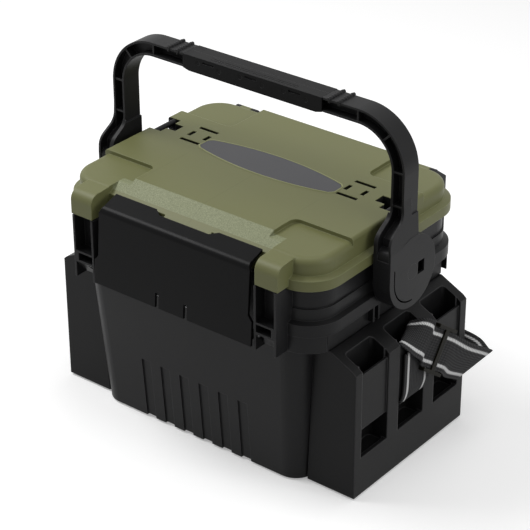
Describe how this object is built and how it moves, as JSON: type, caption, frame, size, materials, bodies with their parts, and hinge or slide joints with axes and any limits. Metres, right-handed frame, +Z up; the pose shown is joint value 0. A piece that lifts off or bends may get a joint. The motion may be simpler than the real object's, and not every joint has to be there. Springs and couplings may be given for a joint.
{
  "type": "fishing seat box",
  "caption": "A moulded fishing box that doubles as a seat, with a hinged lid, wide front latch, swinging hoop handle, rod sockets on both sides and a webbing strap.",
  "frame": {"origin": "on the floor under the middle of the tub", "axes": "+X to the box's right as seen from the front, +Y to its back, +Z up; the front with the latch faces -Y"},
  "size_m": [0.4618, 0.3302, 0.4407],
  "materials": {
    "black_plastic": "fine moulded grain, satin",
    "green_plastic": "olive green, fine moulded grain",
    "grey_plastic": "dark grey, smooth",
    "webbing": "woven black webbing with two pale stripes",
    "buckle_plastic": "dark, smooth",
    "rubber": "matte black",
    "steel": "drawn wire and turned pins"
  },
  "bodies": {
    "box": {"tub": "black_plastic", "foot_front_left": "rubber", "foot_front_right": "rubber", "foot_rear_left": "rubber", "foot_rear_right": "rubber", "rod_rack_left": "black_plastic", "rod_rack_right": "black_plastic", "rack_screws_left": "steel", "rack_screws_right": "steel", "lid_pin_left": "steel", "lid_pin_right": "steel", "latch_rod": "steel", "rod_strap": "webbing", "strap_slider": "buckle_plastic"},
    "lid": {"lid": "green_plastic", "lid_plate": "grey_plastic", "lid_end_bar_left": "black_plastic", "lid_end_bar_right": "black_plastic"},
    "latch": {"front_latch": "black_plastic"},
    "pivots": {"handle_pivot_left": "black_plastic", "handle_pivot_right": "black_plastic"},
    "handle": {"handle_frame": "black_plastic", "grip_front": "black_plastic", "grip_rear": "black_plastic"}
  },
  "joints": [
    {"name": "lid_hinge", "type": "hinge", "parent": "box", "child": "lid", "pos_m": [0, 0.14, 0.2955], "axis": [-1, 0, 0], "range_deg": [0, 95]},
    {"name": "latch_hinge", "type": "hinge", "parent": "box", "child": "latch", "pos_m": [0, -0.158, 0.2075], "axis": [1, 0, 0], "range_deg": [0, 110]},
    {"name": "pivots_turn", "type": "hinge", "parent": "box", "child": "pivots", "pos_m": [0, 0, 0.2505], "axis": [-1, 0, 0], "range_deg": [0, 95]},
    {"name": "handle_swing", "type": "hinge", "parent": "pivots", "child": "handle", "pos_m": [0, 0, 0.2505], "axis": [1, 0, 0], "range_deg": [0, 90]}
  ],
  "couplings": [
    {"joint": "pivots_turn", "follows": "lid_hinge", "ratio": 1}
  ]
}
